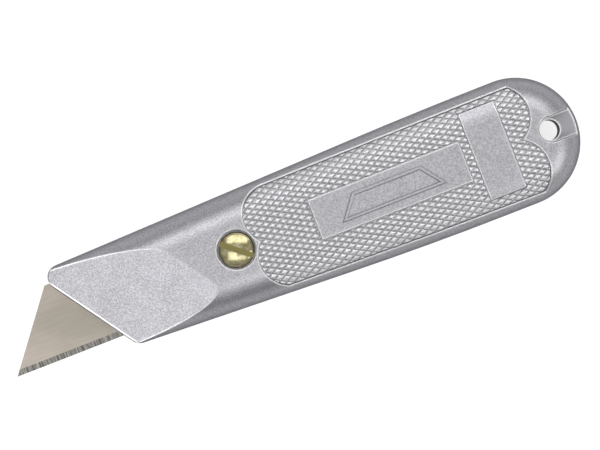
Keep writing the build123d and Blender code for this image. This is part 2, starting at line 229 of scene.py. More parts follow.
@dataclass(frozen=True)
class LacqueredZinc(Finish):
    """Die-cast zinc alloy, tumbled, then sprayed with a silver-flake lacquer.

    The flakes lie flat in the lacquer, so the eye sees a bright face that darkens as it turns
    away, with a fine sparkle.  The casting's skin shows through as a soft grain, coarser on the
    flats of the nose, which are shot-blasted.  Crisp edges and a line along the nose edge are
    painted near white, partly as wear and partly as painted highlight.  Painted shade darkens
    the grooves and inner corners, and the floors of the tail channels.

    The real flakes and skin are 0.02 to 0.1 mm, too fine to show, so both grains are drawn
    about five times as coarse.
    """

    grain_mm: float = 0.34
    nose_grain_mm: float = 0.4
    grain_depth_mm: float = 0.05
    grain_strength: Plan = (0.2, 0.6)  # on the body, and on the flats of the nose
    sparkle: Plan = (0.76, 1.2)  # shade of the dullest and of the brightest flake
    flake_span: Plan = (0.36, 0.64)  # the noise values that give those two shades
    patch_mm: float = 4.0
    patch_span: Plan = (0.3, 0.7)
    patch_change: Plan = (-0.02, 0.03)  # what a patch does to the roughness
    nose_fade_mm: Plan = (-0.12, -0.02)  # where the nose's grain starts, and where it is full
    turned_away_colour: str = "5C5C62"
    origin: Vector = field(default_factory=Vector)
    nose_normal: Vector = field(default_factory=Vector)
    nose_level: float = 0.0
    nose_back: Vector = field(default_factory=Vector)
    nose_edge_level: float = 0.0
    # near white painted on crisp edges and along the nose edge, partly wear and partly painted highlight
    highlight_and_wear_colour: str = "F2F2F2"
    highlight_and_wear: float = 0.9
    highlight_and_wear_mm: float = 0.8
    highlight_and_wear_turn: Plan = (0.98, 0.92)  # cosines of the bend where the wear and painted highlight start, and where they are full
    nose_highlight_mm: Plan = (0.26, 0.6)  # how far behind the nose edge its painted highlight line starts and ends
    # painted shade in the grooves and inner corners, by ambient occlusion
    painted_shade_colour: str = "4E4E50"
    painted_shade: float = 0.85
    painted_shade_mm: float = 0.7
    painted_shade_sky: Plan = (0.92, 0.5)  # shares of open sky where painted shade starts, and where it is full
    # painted shade on the floors of the tail channels
    channel_shade_colour: str = "8A8A8E"
    channel_low_mm: tuple[float, float, float] = (81.0, -3.6, 4.42)
    channel_high_mm: tuple[float, float, float] = (92.0, 2.6, 4.58)

    def detail(self, tree: bpy.types.NodeTree, shader: bpy.types.Node) -> None:
        """Draw the grain as bump and colour, stronger on the two flats of the nose.

        Args:
            tree: the material's node tree.
            shader: its shader.
        """
        place = add_node(tree, "ShaderNodeTexCoord", {}).outputs["Object"]
        folded = self.folded_place(tree, place)
        start, full = self.nose_fade_mm
        on_nose = spread(
            tree,
            self.along(tree, folded, self.nose_normal),
            (self.nose_level + start * MM, self.nose_level + full * MM),
        )
        scales = (1 / (self.grain_mm * MM), 1 / (self.nose_grain_mm * MM))
        grain = add_node(
            tree,
            "ShaderNodeTexNoise",
            {"Detail": 2.0, "Roughness": 0.6},
            Vector=place,
            Scale=spread(tree, on_nose, target=scales),
        )
        bump = add_node(
            tree,
            "ShaderNodeBump",
            {"Distance": self.grain_depth_mm * MM},
            Height=grain.outputs["Fac"],
            Strength=spread(tree, on_nose, target=self.grain_strength),
        )
        tree.links.new(bump.outputs[0], shader.inputs["Normal"])
        patches = add_node(
            tree, "ShaderNodeTexNoise", {"Scale": 1 / (self.patch_mm * MM), "Detail": 3.0}, Vector=place
        )
        smoothest, roughest = (self.roughness + change for change in self.patch_change)
        rough = spread(tree, patches.outputs["Fac"], self.patch_span, (smoothest, roughest))
        tree.links.new(rough, shader.inputs["Roughness"])
        tree.links.new(self.colouring(tree, grain, folded), shader.inputs["Base Color"])
        shader.inputs["Specular Tint"].default_value = linear(self.turned_away_colour)

    def colouring(
        self, tree: bpy.types.NodeTree, grain: bpy.types.Node, folded: bpy.types.NodeSocket
    ) -> bpy.types.NodeSocket:
        """Lay the flakes' sparkle, the painted shade of the channels, grooves and corners, and the wear
        with painted highlight over each other.

        Args:
            tree: the material's node tree.
            grain: the noise that places the flakes.
            folded: the place from folded_place.

        Returns:
            The colour socket.
        """
        layer = add_node(
            tree,
            "ShaderNodeMix",
            {"data_type": "RGBA", "blend_type": "MULTIPLY", 0: 1.0, 6: linear(self.colour)},
            i7=spread(tree, grain.outputs["Fac"], self.flake_span, self.sparkle),
        )
        # painted shade on the channel floors, painted shade in grooves and corners, then wear with painted
        # highlight
        for colour, mask in (
            (self.channel_shade_colour, self.channel_shade_mask(tree, folded)),
            (self.painted_shade_colour, self.painted_shade_mask(tree)),
            (self.highlight_and_wear_colour, self.highlight_and_wear_mask(tree, folded)),
        ):
            layer = add_node(
                tree,
                "ShaderNodeMix",
                {"data_type": "RGBA", 7: linear(colour)},
                i0=mask,
                i6=layer.outputs[2],
            )
        return layer.outputs[2]

    def folded_place(
        self, tree: bpy.types.NodeTree, place: bpy.types.NodeSocket
    ) -> bpy.types.NodeSocket:
        """Measure places from the screw, with the rear half folded over onto the front one.

        Args:
            tree: the material's node tree.
            place: the object coordinates.

        Returns:
            A vector socket whose height is never negative.
        """
        moved = add_node(
            tree, "ShaderNodeVectorMath", {"operation": "SUBTRACT", 1: self.origin}, i0=place
        )
        parts = add_node(tree, "ShaderNodeSeparateXYZ", {}, Vector=moved.outputs[0])
        height = add_node(tree, "ShaderNodeMath", {"operation": "ABSOLUTE"}, i0=parts.outputs["Z"])
        return add_node(
            tree,
            "ShaderNodeCombineXYZ",
            {},
            X=parts.outputs["X"],
            Y=parts.outputs["Y"],
            Z=height.outputs[0],
        ).outputs[0]

    def along(
        self, tree: bpy.types.NodeTree, folded: bpy.types.NodeSocket, direction: Vector
    ) -> bpy.types.NodeSocket:
        """Measure how far along a direction each place lies.

        Args:
            tree: the material's node tree.
            folded: the place from folded_place.
            direction: a unit vector.

        Returns:
            The distance's socket.
        """
        return add_node(
            tree, "ShaderNodeVectorMath", {"operation": "DOT_PRODUCT", 1: direction}, i0=folded
        ).outputs["Value"]

    def painted_shade_mask(self, tree: bpy.types.NodeTree) -> bpy.types.NodeSocket:
        """Paint shade into the grooves and inner corners, by how much of the sky above them is hidden.

        Args:
            tree: the material's node tree.

        Returns:
            A socket that rises to the share of painted shade.
        """
        sky = add_node(
            tree, "ShaderNodeAmbientOcclusion", {"samples": 8, "Distance": self.painted_shade_mm * MM}
        )
        return spread(tree, sky.outputs["AO"], self.painted_shade_sky, (0.0, self.painted_shade))

    def highlight_and_wear_mask(
        self, tree: bpy.types.NodeTree, folded: bpy.types.NodeSocket
    ) -> bpy.types.NodeSocket:
        """Find the crisp edges, painted near white partly as wear and partly as painted highlight, and a
        painted highlight line along the nose edge.

        Args:
            tree: the material's node tree.
            folded: the place from folded_place.

        Returns:
            A socket that rises to the share of wear and painted highlight.
        """
        facing = add_node(tree, "ShaderNodeNewGeometry", {}).outputs["Normal"]
        rounded = add_node(tree, "ShaderNodeBevel", {"samples": 6, "Radius": self.highlight_and_wear_mm * MM})
        match = add_node(
            tree,
            "ShaderNodeVectorMath",
            {"operation": "DOT_PRODUCT"},
            i0=facing,
            i1=rounded.outputs[0],
        )
        near, far = self.nose_highlight_mm
        nose = add_node(
            tree,
            "ShaderNodeMath",
            {
                "operation": "COMPARE",
                1: self.nose_edge_level + (near + far) / 2 * MM,
                2: (far - near) / 2 * MM,
            },
            i0=self.along(tree, folded, self.nose_back),
        )
        return add_node(
            tree,
            "ShaderNodeMath",
            {"operation": "MAXIMUM"},
            i0=spread(tree, match.outputs["Value"], self.highlight_and_wear_turn, (0.0, self.highlight_and_wear)),
            i1=nose.outputs[0],
        ).outputs[0]

    def channel_shade_mask(
        self, tree: bpy.types.NodeTree, folded: bpy.types.NodeSocket
    ) -> bpy.types.NodeSocket:
        """Find the floors of the two channels at the tail, which are painted darker as shade.

        Args:
            tree: the material's node tree.
            folded: the place from folded_place.

        Returns:
            A socket that is 1 on the floors and 0 elsewhere.
        """
        parts = add_node(tree, "ShaderNodeSeparateXYZ", {}, Vector=folded)
        mask = None
        for source, low, high in zip(parts.outputs, self.channel_low_mm, self.channel_high_mm):
            inside = add_node(
                tree,
                "ShaderNodeMath",
                {"operation": "COMPARE", 1: (low + high) / 2 * MM, 2: (high - low) / 2 * MM},
                i0=source,
            ).outputs[0]
            if mask is not None:
                inside = add_node(
                    tree, "ShaderNodeMath", {"operation": "MULTIPLY"}, i0=mask, i1=inside
                ).outputs[0]
            mask = inside
        return mask


@dataclass(frozen=True)
class GroundSteel(Finish):
    """Hardened carbon-steel strip, rolled smooth, with a wheel-ground cutting edge.

    The rolled face gives a satin sheen along the strip under a thin film of oil, and the
    grinding wheel's marks make the bevel a band of short upright lines, painted darker as shade.

    Rolling lines and wheel marks are really 0.01 to 0.05 mm apart, too fine to show, so they
    are drawn about ten times as coarse.
    """

    edge_y: float = 0.0
    bevel_mm: float = 1.5
    bevel_blur_mm: float = 0.05
    # the bevel's grinding marks are painted in dark colours, as shade
    bevel_marks_and_shade_colours: tuple[str, str] = ("3C3B39", "716F6B")
    bevel_span: Plan = (0.36, 0.66)
    rolled_low_colour: str = "99938B"
    rolled_span: Plan = (0.3, 0.7)
    stain_colours: tuple[str, str] = ("D6D6CC", "FFFAF6")
    stain_span: Plan = (0.38, 0.6)
    stain: float = 0.55
    mark_depth_mm: float = 0.02
    mark_strength: float = 0.35
    line_mm: float = 0.3
    mark_mm: float = 0.38
    stain_mm: float = 13.0
    stretch: float = 20.0

    def detail(self, tree: bpy.types.NodeTree, shader: bpy.types.Node) -> None:
        """Draw rolling lines along the strip, and grinding marks square to the edge.

        Args:
            tree: the material's node tree.
            shader: its shader.
        """
        place = add_node(tree, "ShaderNodeTexCoord", {}).outputs["Object"]
        squeeze = 1 / self.stretch
        along = add_node(tree, "ShaderNodeMapping", {"Scale": (squeeze, 1.0, 1.0)}, Vector=place)
        across = add_node(tree, "ShaderNodeMapping", {"Scale": (1.0, squeeze, squeeze)}, Vector=place)
        rolled = add_node(
            tree,
            "ShaderNodeTexNoise",
            {"Scale": 1 / (self.line_mm * MM), "Detail": 3.0},
            Vector=along.outputs[0],
        )
        ground = add_node(
            tree,
            "ShaderNodeTexNoise",
            {"Scale": 1 / (self.mark_mm * MM), "Detail": 1.0},
            Vector=across.outputs[0],
        )
        stain = add_node(
            tree, "ShaderNodeTexNoise", {"Scale": 1 / (self.stain_mm * MM), "Detail": 2.0}, Vector=place
        )
        depth = add_node(tree, "ShaderNodeSeparateXYZ", {}, Vector=place)
        border = (
            self.edge_y + (self.bevel_mm + self.bevel_blur_mm) * MM,
            self.edge_y + (self.bevel_mm - self.bevel_blur_mm) * MM,
        )
        on_bevel = spread(tree, depth.outputs["Y"], border)
        plain = self.shades(tree, rolled, (self.rolled_low_colour, self.colour), self.rolled_span)
        oiled = add_node(
            tree,
            "ShaderNodeMix",
            {"data_type": "RGBA", "blend_type": "MULTIPLY", 0: self.stain},
            i6=plain,
            i7=self.shades(tree, stain, self.stain_colours, self.stain_span),
        )
        # grinding marks on the bevel, painted dark as shade
        bevel = self.shades(tree, ground, self.bevel_marks_and_shade_colours, self.bevel_span)
        tint = add_node(
            tree,
            "ShaderNodeMix",
            {"data_type": "RGBA"},
            i0=on_bevel,
            i6=oiled.outputs[2],
            i7=bevel,
        )
        tree.links.new(tint.outputs[2], shader.inputs["Base Color"])
        marks = add_node(
            tree,
            "ShaderNodeMix",
            {},
            Factor=on_bevel,
            A=rolled.outputs["Fac"],
            B=ground.outputs["Fac"],
        )
        bump = add_node(
            tree,
            "ShaderNodeBump",
            {"Distance": self.mark_depth_mm * MM, "Strength": self.mark_strength},
            Height=marks.outputs[0],
        )
        tree.links.new(bump.outputs[0], shader.inputs["Normal"])

    def shades(
        self,
        tree: bpy.types.NodeTree,
        noise: bpy.types.Node,
        colours: tuple[str, str],
        span: Plan,
    ) -> bpy.types.NodeSocket:
        """Spread a noise between two colours.

        Args:
            tree: the material's node tree.
            noise: the noise node.
            colours: the hex colours for its low and its high values.
            span: the noise values that give the two colours.

        Returns:
            The colour socket.
        """
        return add_node(
            tree,
            "ShaderNodeMix",
            {"data_type": "RGBA", 6: linear(colours[0]), 7: linear(colours[1])},
            i0=spread(tree, noise.outputs["Fac"], span),
        ).outputs[2]


@dataclass(frozen=True)
class TurnedBrass(Finish):
    """Free-cutting brass, turned on an automatic lathe and dulled by handling.

    The lathe's fine feed leaves rings that stretch each highlight across the head, and the
    tarnish breaks it up into warmer and cooler patches.  The rings are at about their real
    pitch, so only a close view shows them apart.
    """

    ring_mm: float = 0.11
    ring_depth_mm: float = 0.02
    ring_strength: float = 0.25
    tarnish_mm: float = 1.4
    tarnish_span: Plan = (0.35, 0.65)
    slot_shade_fade_mm: Plan = (0.1, 0.35)  # above the slot's floor, where its painted shade ends
    tarnish_colour: str = "847D5C"
    # painted shade in the screw's slot
    slot_shade_colour: str = "7C7449"
    axis: Vector = field(default_factory=Vector)
    slot_floor: float = 0.0

    def detail(self, tree: bpy.types.NodeTree, shader: bpy.types.Node) -> None:
        """Draw fine turning rings about the screw's axis, patches of tarnish, and painted shade that
        darkens the slot towards its floor.

        Args:
            tree: the material's node tree.
            shader: its shader.
        """
        place = add_node(tree, "ShaderNodeTexCoord", {}).outputs["Object"]
        moved = add_node(
            tree, "ShaderNodeVectorMath", {"operation": "SUBTRACT", 1: self.axis}, i0=place
        )
        flat = add_node(
            tree, "ShaderNodeVectorMath", {"operation": "MULTIPLY", 1: (1, 1, 0)}, i0=moved.outputs[0]
        )
        radius = add_node(tree, "ShaderNodeVectorMath", {"operation": "LENGTH"}, i0=flat.outputs[0])
        rings = add_node(
            tree,
            "ShaderNodeTexNoise",
            {"noise_dimensions": "1D", "Scale": 1 / (self.ring_mm * MM), "Detail": 2.0},
            W=radius.outputs["Value"],
        )
        tarnish = add_node(
            tree,
            "ShaderNodeTexNoise",
            {"Scale": 1 / (self.tarnish_mm * MM), "Detail": 4.0, "Roughness": 0.6},
            Vector=place,
        )
        tint = add_node(
            tree,
            "ShaderNodeMix",
            {"data_type": "RGBA", 6: linear(self.tarnish_colour), 7: linear(self.colour)},
            i0=spread(tree, tarnish.outputs["Fac"], self.tarnish_span),
        )
        # painted shade: darker towards the slot's floor
        height = add_node(tree, "ShaderNodeSeparateXYZ", {}, Vector=moved.outputs[0])
        low, high = (self.slot_floor + rise * MM for rise in self.slot_shade_fade_mm)
        slot_shaded = add_node(
            tree,
            "ShaderNodeMix",
            {"data_type": "RGBA", 6: linear(self.slot_shade_colour)},
            i0=spread(tree, height.outputs["Z"], (low, high)),
            i7=tint.outputs[2],
        )
        tree.links.new(slot_shaded.outputs[2], shader.inputs["Base Color"])
        bump = add_node(
            tree,
            "ShaderNodeBump",
            {"Distance": self.ring_depth_mm * MM, "Strength": self.ring_strength},
            Height=rings.outputs["Fac"],
        )
        tree.links.new(bump.outputs[0], shader.inputs["Normal"])


@dataclass(frozen=True)
class LitAcrylic(Finish):
    """Opal cast acrylic, lit from below: a white floor with hardly any shadow."""

    glow: float = 0.8

    def detail(self, tree: bpy.types.NodeTree, shader: bpy.types.Node) -> None:
        """Let the sheet glow evenly."""
        shader.inputs["Emission Color"].default_value = linear("FFFFFF")
        shader.inputs["Emission Strength"].default_value = self.glow


# ------------------------------------------------------------------ mesh helpers


def new_piece(name: str, mesh: bmesh.types.BMesh, material: bpy.types.Material) -> bpy.types.Object:
    """Turn a bmesh into a piece of the knife.

    Args:
        name: the piece's name.
        mesh: its geometry in the frame's coordinates, which is freed.
        material: its finish.

    Returns:
        The new object, linked to the scene.
    """
    bmesh.ops.recalc_face_normals(mesh, faces=mesh.faces)
    data = bpy.data.meshes.new(name)
    mesh.to_mesh(data)
    mesh.free()
    data.materials.append(material)
    piece = bpy.data.objects.new(name, data)
    bpy.context.scene.collection.objects.link(piece)
    return piece


def cut_with(piece: bpy.types.Object, tool: bpy.types.Object, operation: str) -> None:
    """Apply a boolean with a tool, which is then thrown away.

    Args:
        piece: the object to change.
        tool: the object to cut with.
        operation: INTERSECT, DIFFERENCE or UNION.
    """
    modifier = piece.modifiers.new("cut", "BOOLEAN")
    modifier.operation = operation
    modifier.solver = "EXACT"
    modifier.object = tool
    graph = bpy.context.evaluated_depsgraph_get()
    cut = bpy.data.meshes.new_from_object(piece.evaluated_get(graph))
    piece.modifiers.clear()
    piece.data = cut
    bpy.data.objects.remove(tool)


def drop_crumbs(piece: bpy.types.Object, least: float) -> None:
    """Delete the crumbs that trimming leaves along a border.

    Args:
        piece: the object to clean.
        least: the least length in millimetres, corner to corner, of a part that stays.
    """
    mesh = bmesh.new()
    mesh.from_mesh(piece.data)
    unseen, crumbs = set(mesh.verts), []
    while unseen:
        waiting, island = [unseen.pop()], []
        while waiting:
            vert = waiting.pop()
            island.append(vert)
            near = {edge.other_vert(vert) for edge in vert.link_edges} & unseen
            unseen -= near
            waiting += near
        low = Vector(min(vert.co[axis] for vert in island) for axis in range(3))
        high = Vector(max(vert.co[axis] for vert in island) for axis in range(3))
        if (high - low).length < least * MM:
            crumbs += island
    bmesh.ops.delete(mesh, geom=crumbs, context="VERTS")
    mesh.to_mesh(piece.data)
    mesh.free()


def shade_by_angle(piece: bpy.types.Object, degrees: float) -> None:
    """Shade smooth, with edges sharper than an angle left crisp."""
    piece.data.shade_smooth()
    piece.data.set_sharp_from_angle(angle=math.radians(degrees))


# ------------------------------------------------------------------ the handle


@dataclass(frozen=True)
class HandleForm:
    """The outer form of the handle behind the nose: an outline with rolled shoulders."""

    half_thickness: float = 9.25
    shoulder_radius: float = 8.5
    least_inset: float = 0.3  # heights are taken no nearer than this to the parting line
    tail_centre: Plan = (75.1, -0.33)
    tail_radius: float = 16.28
    back: tuple[float, float, float] = (75.1, 1300.0, 1.75)
    belly: tuple[float, float, float] = (66.0, 940.0, 2.5)

    def edge_distance(self, x: float, y: float) -> float:
        """Measure how far inside the outline a point lies, in plan.

        Args:
            x: distance from the screw towards the tail.
            y: distance from the screw towards the spine.

        Returns:
            Distance to the nearest edge of the outline.
        """
        cx, cy = self.tail_centre
        if x > cx:
            return self.tail_radius - math.hypot(x - cx, y - cy)
        return min(
            self.long_edge_distance(x, y - cy, *self.back),
            self.long_edge_distance(x, cy - y, *self.belly),
        )

    def long_edge_distance(self, x: float, rise: float, level_x: float, bend: float, taper: float) -> float:
        """Measure to a long edge that is level at the tail, bends, then tapers straight.

        Args:
            x: distance from the screw towards the tail.
            rise: height of the point above the tail's centre, towards this edge.
            level_x: where the edge becomes level.
            bend: radius of the bend.
            taper: degrees of the straight taper.

        Returns:
            Distance to the edge.
        """
        if x >= level_x:
            return self.tail_radius - rise
        slope = math.radians(taper)
        below = rise - (self.tail_radius - bend)
        if math.atan2(level_x - x, below) <= slope:
            return bend - math.hypot(level_x - x, below)
        return bend - (below * math.cos(slope) + (level_x - x) * math.sin(slope))

    def height(self, x: float, y: float, depth: float) -> float:
        """Find the height of the surface, or of one sunk below it.

        Args:
            x: distance from the screw towards the tail.
            y: distance from the screw towards the spine.
            depth: how far below the outer surface, square to it.

        Returns:
            Height above the parting plane.
        """
        roll = self.shoulder_radius - max(self.edge_distance(x, y), self.least_inset)
        centre = self.half_thickness - self.shoulder_radius
        radius = self.shoulder_radius - depth
        if roll <= 0:
            return self.half_thickness - depth
        return centre + math.sqrt(max(radius**2 - min(roll, radius) ** 2, 0.0))


@dataclass(frozen=True)
class GripPanel:
    """The sunken panel with its raised diamonds, and the two smooth plates left in it."""

    depth: float = 0.55
    back: tuple[Plan, ...] = ((12.0, 12.65), (77.4, 13.15))
    belly: tuple[Plan, ...] = ((77.2, -14.3), (50.0, -14.05), (9.2, -12.95))
    front_lobes: tuple[Plan, ...] = ((4.4, -7.2), (6.6, -0.2), (4.9, 8.2))
    rear_lobes: tuple[Plan, ...] = ((80.5, 6.8), (76.2, -0.4), (80.5, -7.5))
    plates: tuple[tuple[Plan, Plan], ...] = (((20.8, -5.65), (61.4, 5.15)), ((63.5, -11.7), (73.2, 11.4)))
    pitch_along: float = 3.0
    pitch_across: float = 1.6
    edge_gap: float = 0.12
    lattice_x: Plan = (2.0, 83.0)  # the stretch that the lattice covers, along and across
    lattice_y: Plan = (-15.2, 14.2)
    edge_margin: float = 1.6  # no diamond stands nearer than this to the handle's outline
    trim_height: float = 12.0  # above the highest diamond
    least_crumb: float = 0.4
    levels: tuple[Plan, ...] = ((0.62, 0.99), (0.42, 0.99), (0.34, 0.84), (0.10, 0.36), (0.04, 0.12))

    def outline(self) -> list[Plan]:
        """Draw the panel's outline.

        Returns:
            Its points in plan, in order.
        """
        rear_back, rear_cusp, rear_belly = self.rear_lobes
        front_belly, front_cusp, front_back = self.front_lobes
        points = [self.back[0]]
        points += arc_through(self.back[1], rear_back, rear_cusp)
        points += arc_through(rear_cusp, rear_belly, self.belly[0])
        points += self.belly[1:2]
        points += arc_through(self.belly[2], front_belly, front_cusp)
        points += arc_through(front_cusp, front_back, self.back[0])[:-1]
        return points

    def diamonds(self, form: HandleForm, datum: Datum, side: Side) -> bmesh.types.BMesh:
        """Raise a diamond with a small blunt top at every point of the lattice.

        Args:
            form: the handle's outer form, which the diamonds follow.
            datum: places the points in the frame.
            side: the half that the panel is on.

        Returns:
            The untrimmed diamonds.
        """
        mesh = bmesh.new()
        half_along, half_across = self.pitch_along / 2, self.pitch_across / 2
        first_x, last_x = (int(x / half_along) for x in self.lattice_x)
        first_y, last_y = (int(y / half_across) for y in self.lattice_y)
        centres = [
            (i * half_along, j * half_across)
            for i in range(first_x, last_x + 1)
            for j in range(first_y, last_y + 1)
            if (i + j) % 2 == 0
        ]
        for x, y in centres:
            if form.edge_distance(x, y) < self.edge_margin or not self.near_pattern(x, y):
                continue
            rings = []
            for depth, share in self.levels:
                dx, dy = share * half_along, share * half_across
                corners = ((x + dx, y), (x, y + dy), (x - dx, y), (x, y - dy))
                rings.append(
                    [
                        mesh.verts.new(datum.at(px, py, side.value * form.height(px, py, depth)))
                        for px, py in corners
                    ]
                )
            for low, high in zip(rings, rings[1:]):
                for k in range(4):
                    mesh.faces.new((low[k], low[k - 1], high[k - 1], high[k]))
            mesh.faces.new(rings[0])
            mesh.faces.new(rings[-1])
        return mesh

    def near_pattern(self, x: float, y: float) -> bool:
        """Tell whether a diamond centred at a point reaches outside both smooth plates.

        Args:
            x: distance from the screw towards the tail.
            y: distance from the screw towards the spine.

        Returns:
            False where the whole diamond would lie on a plate.
        """
        for (x0, y0), (x1, y1) in self.plates:
            inside_x = x0 + self.pitch_along / 2 < x < x1 - self.pitch_along / 2
            inside_y = y0 + self.pitch_across / 2 < y < y1 - self.pitch_across / 2
            if inside_x and inside_y:
                return False
        return True

    def trimmer(self, datum: Datum, side: Side) -> bmesh.types.BMesh:
        """Make the upright block that the pattern is trimmed to.

        Args:
            datum: places the points in the frame.
            side: the half that the panel is on.

        Returns:
            A closed prism over the panel, open at the two plates.
        """
        loops = [inset_loop(self.outline(), self.edge_gap)]
        for (x0, y0), (x1, y1) in self.plates:
            corners = [(x0, y0), (x1, y0), (x1, y1), (x0, y1)]
            loops.append(inset_loop(corners, -self.edge_gap))
        mesh = bmesh.new()
        for loop in loops:
            verts = [mesh.verts.new(datum.at(x, y, 0)) for x, y in loop]
            for a, b in zip(verts, verts[1:] + verts[:1]):
                mesh.edges.new((a, b))
        bmesh.ops.triangle_fill(mesh, use_beauty=True, edges=mesh.edges)
        raised = bmesh.ops.extrude_face_region(mesh, geom=mesh.faces[:])
        for item in raised["geom"]:
            if isinstance(item, bmesh.types.BMVert):
                item.co.z += side.value * self.trim_height * MM
        return mesh


def arc_through(start: Plan, middle: Plan, end: Plan, steps: int = 24) -> list[Plan]:
    """Draw the arc through three points.

    Args:
        start: first point.
        middle: a point on the arc.
        end: last point.
        steps: number of chords.

    Returns:
        Points from start to end.
    """
    (ax, ay), (bx, by), (cx, cy) = start, middle, end
    twice = 2 * (ax * (by - cy) + bx * (cy - ay) + cx * (ay - by))
    a2, b2, c2 = ax**2 + ay**2, bx**2 + by**2, cx**2 + cy**2
    ox = (a2 * (by - cy) + b2 * (cy - ay) + c2 * (ay - by)) / twice
    oy = (a2 * (cx - bx) + b2 * (ax - cx) + c2 * (bx - ax)) / twice
    radius = math.hypot(ax - ox, ay - oy)
    first, on_way, last = (math.atan2(y - oy, x - ox) for x, y in (start, middle, end))
    turn = (last - first) % math.tau
    if (on_way - first) % math.tau > turn:
        turn -= math.tau
    angles = [first + turn * k / steps for k in range(steps + 1)]
    return [(ox + radius * math.cos(a), oy + radius * math.sin(a)) for a in angles]


def inset_loop(points: list[Plan], amount: float, sharpest: float = 0.5) -> list[Plan]:
    """Move a closed outline inwards by an amount, or outwards if it is negative.

    Args:
        points: the outline's points in order.
        amount: how far to move it.
        sharpest: the least cosine of half a corner's turn, so that no corner shoots far out.

    Returns:
        The moved points.
    """
    count = len(points)
    area = sum(
        points[k][0] * points[(k + 1) % count][1] - points[(k + 1) % count][0] * points[k][1]
        for k in range(count)
    )
    turn = math.copysign(1.0, area)
    moved = []
    for k, point in enumerate(points):
        before, after = Vector(points[k - 1]), Vector(points[(k + 1) % count])
        here = Vector(point)
        first, second = (here - before).normalized(), (after - here).normalized()
        normal = Vector((-(first.y + second.y), first.x + second.x)).normalized() * turn
        stretch = max(normal.dot(Vector((-first.y, first.x)) * turn), sharpest)
        moved.append(tuple(here + normal * amount / stretch))
    return moved


@dataclass(frozen=True)
class BladeMark:
    """A plain raised outline of a trapezoid blade, cast on the label plate."""

    centre: Plan = (41.1, -0.25)
    half_edge: float = 14.0
    half_spine: float = 9.2
    half_width: float = 3.2
    plate_height: float = 9.25
    section: tuple[Plan, ...] = (
        (0.0, -0.05),
        (0.08, 0.14),
        (0.24, 0.24),
        (0.76, 0.24),
        (0.92, 0.14),
        (1.0, -0.05),
    )

    def outline(self) -> list[Plan]:
        """Draw the blade's outline, its cutting edge the longer side.

        Returns:
            Its four corners in order.
        """
        cx, cy = self.centre
        low, high = cy - self.half_width, cy + self.half_width
        edge, spine = self.half_edge, self.half_spine
        return [(cx - edge, low), (cx + edge, low), (cx + spine, high), (cx - spine, high)]

    def build(self, datum: Datum) -> bmesh.types.BMesh:
        """Run the rounded line's section round the outline.

        Args:
            datum: places the points in the frame.

        Returns:
            The closed line.
        """
        mesh = bmesh.new()
        rows = []
        for offset, rise in self.section:
            ring = inset_loop(self.outline(), offset)
            rows.append([mesh.verts.new(datum.at(x, y, self.plate_height + rise)) for x, y in ring])
        for low, high in zip(rows, rows[1:] + rows[:1]):
            for k in range(len(low)):
                mesh.faces.new((low[k - 1], low[k], high[k], high[k - 1]))
        return mesh


@dataclass
class HalfShell:
    """One half of the die-cast handle, with its grip pattern."""

    side: Side
    datum: Datum
    form: HandleForm = field(default_factory=HandleForm)
    panel: GripPanel = field(default_factory=GripPanel)
    mark: BladeMark = field(default_factory=BladeMark)

    @property
    def word(self) -> str:
        """The half's name in node, body and piece names."""
        return self.side.name.lower()

    def build(
        self, zinc: bpy.types.Material, grip: bpy.types.Material, relief: bpy.types.Material
    ) -> list[bpy.types.Object]:
        """Dress the casting, and raise its grip pattern and the mark on its label plate.

        Args:
            zinc: the casting's finish.
            grip: the finish of the diamonds, painted lighter than the casting, partly as polish from
                handling and partly as painted highlight.
            relief: the finish of the mark, which takes neither wear nor painted edge highlight.

        Returns:
            The casting and what stands up from it.
        """
        casting = frame["nodes"][f"{self.word}_shell"]
        dress(casting, zinc)
        pattern = new_piece(
            f"{self.word}_grip_knurl", self.panel.diamonds(self.form, self.datum, self.side), grip
        )
        trimmer = new_piece("trimmer", self.panel.trimmer(self.datum, self.side), zinc)
        cut_with(pattern, trimmer, "INTERSECT")
        drop_crumbs(pattern, self.panel.least_crumb)
        pieces = [pattern]
        if self.side is Side.FRONT:
            pieces.append(new_piece("front_label_mark", self.mark.build(self.datum), relief))
        for piece in pieces:
            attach(piece, f"{self.word}_half")
        return [casting, *pieces]


def dress(piece: bpy.types.Object, material: bpy.types.Material) -> None:
    """Give a piece one finish all over."""
    piece.data.materials.clear()
    piece.data.materials.append(material)


# ------------------------------------------------------------------ the screw


